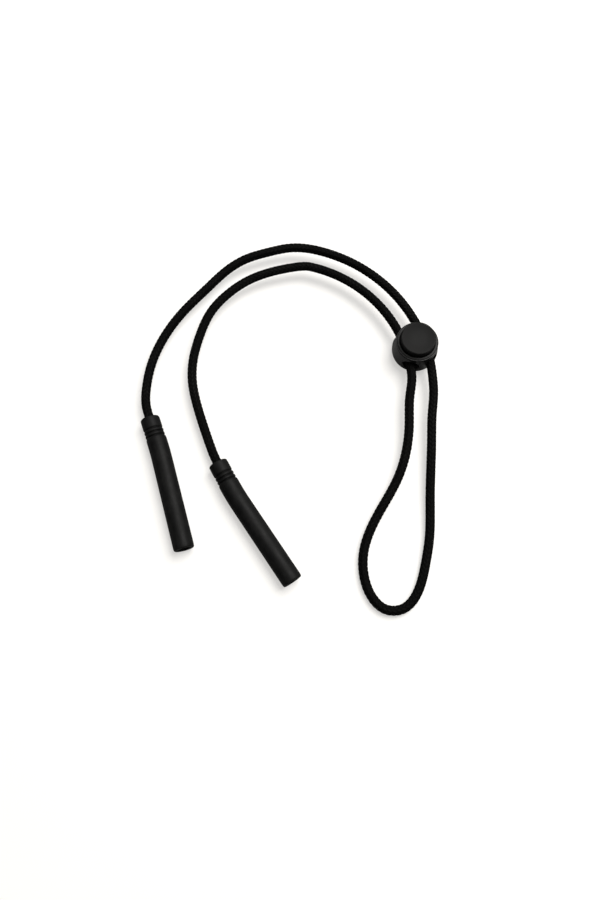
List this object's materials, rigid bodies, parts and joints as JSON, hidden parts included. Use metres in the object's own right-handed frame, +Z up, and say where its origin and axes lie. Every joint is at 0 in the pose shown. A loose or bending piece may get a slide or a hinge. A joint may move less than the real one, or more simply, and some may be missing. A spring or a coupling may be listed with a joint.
{
  "type": "eyeglass retainer strap",
  "caption": "Round braided cord with a rubber temple sleeve on each end and a push-button lock that slides along both strands to set the loop.",
  "frame": {"origin": "centre of the cord lock's base, on the plunger's axis", "axes": "+Z up out of the push button; the strap lies flat on z = 0, the loop's end towards -Y and the temple sleeves towards -X"},
  "size_m": [0.1014, 0.1299, 0.0126],
  "materials": {
    "cord_braid": "black braided polyester, slight sheen",
    "cord_core": "black filler yarn",
    "sleeve_rubber": "matt moulded rubber",
    "ferrule_brass": "crimped",
    "spring_steel": "drawn wire",
    "lock_housing_plastic": "satin moulded plastic",
    "lock_button_plastic": "fine matt texture"
  },
  "bodies": {
    "cord_arcs": {"sheath_arc_outer": "cord_braid", "core_arc_outer": "cord_core", "sheath_arc_inner": "cord_braid", "core_arc_inner": "cord_core", "sheath_flex_bend_left": "cord_braid", "core_flex_bend_left": "cord_core", "sheath_flex_bend_right": "cord_braid", "core_flex_bend_right": "cord_core", "sheath_flex_loop_outer": "cord_braid", "core_flex_loop_outer": "cord_core", "sheath_flex_loop_inner": "cord_braid", "core_flex_loop_inner": "cord_core"},
    "cord_lock": {"lock_housing": "lock_housing_plastic", "lock_spring": "spring_steel"},
    "lock_button": {"lock_plunger": "lock_button_plastic"},
    "cord_loop": {"sheath_loop": "cord_braid", "core_loop": "cord_core"},
    "strand_left": {"sheath_strand_left": "cord_braid", "core_strand_left": "cord_core", "sheath_flex_neck_left": "cord_braid", "core_flex_neck_left": "cord_core"},
    "strand_right": {"sheath_strand_right": "cord_braid", "core_strand_right": "cord_core", "sheath_flex_neck_right": "cord_braid", "core_flex_neck_right": "cord_core"},
    "sleeve_left": {"temple_sleeve_left": "sleeve_rubber", "cord_ferrule_left": "ferrule_brass", "sheath_tail_left": "cord_braid", "core_tail_left": "cord_core"},
    "sleeve_right": {"temple_sleeve_right": "sleeve_rubber", "cord_ferrule_right": "ferrule_brass", "sheath_tail_right": "cord_braid", "core_tail_right": "cord_core"}
  },
  "joints": [
    {"name": "plunger_press", "type": "slide", "parent": "cord_lock", "child": "lock_button", "axis": [0, 0, -1], "range_m": [0, 0.0018], "stiffness_N_per_m": 250, "springref_m": -0.0045, "deforming": ["lock_spring"]},
    {"name": "lock_travel", "type": "hinge", "parent": "cord_arcs", "child": "cord_lock", "pos_m": [-0.04691, -0.0131, 0.0056], "axis": [0, 0, 1], "range_deg": [-3, 50]},
    {"name": "loop_swing", "type": "hinge", "parent": "cord_arcs", "child": "cord_loop", "pos_m": [0.00172, -0.01283, 0.00558], "axis": [0, 0, 1], "range_deg": [-14, 25], "stiffness_Nm_per_rad": 0.0008, "deforming": ["sheath_flex_loop_outer", "core_flex_loop_outer", "sheath_flex_loop_inner", "core_flex_loop_inner"]},
    {"name": "strand_left_spread", "type": "hinge", "parent": "cord_arcs", "child": "strand_left", "pos_m": [-0.03638, 0.038, 0.0056], "axis": [0, 0, 1], "range_deg": [-30, 5], "stiffness_Nm_per_rad": 0.0008, "deforming": ["sheath_flex_bend_left", "core_flex_bend_left"]},
    {"name": "strand_right_spread", "type": "hinge", "parent": "cord_arcs", "child": "strand_right", "pos_m": [-0.03814, 0.03097, 0.0056], "axis": [0, 0, 1], "range_deg": [-4, 7], "stiffness_Nm_per_rad": 0.0008, "deforming": ["sheath_flex_bend_right", "core_flex_bend_right"]},
    {"name": "sleeve_left_swing", "type": "hinge", "parent": "strand_left", "child": "sleeve_left", "pos_m": [-0.09103, -0.02304, 0.00338], "axis": [0, 0, 1], "range_deg": [-40, 17], "stiffness_Nm_per_rad": 0.0008, "deforming": ["sheath_flex_neck_left", "core_flex_neck_left"]},
    {"name": "sleeve_right_swing", "type": "hinge", "parent": "strand_right", "child": "sleeve_right", "pos_m": [-0.06796, -0.03868, 0.00338], "axis": [0, 0, 1], "range_deg": [-25, 30], "stiffness_Nm_per_rad": 0.0008, "deforming": ["sheath_flex_neck_right", "core_flex_neck_right"]}
  ]
}
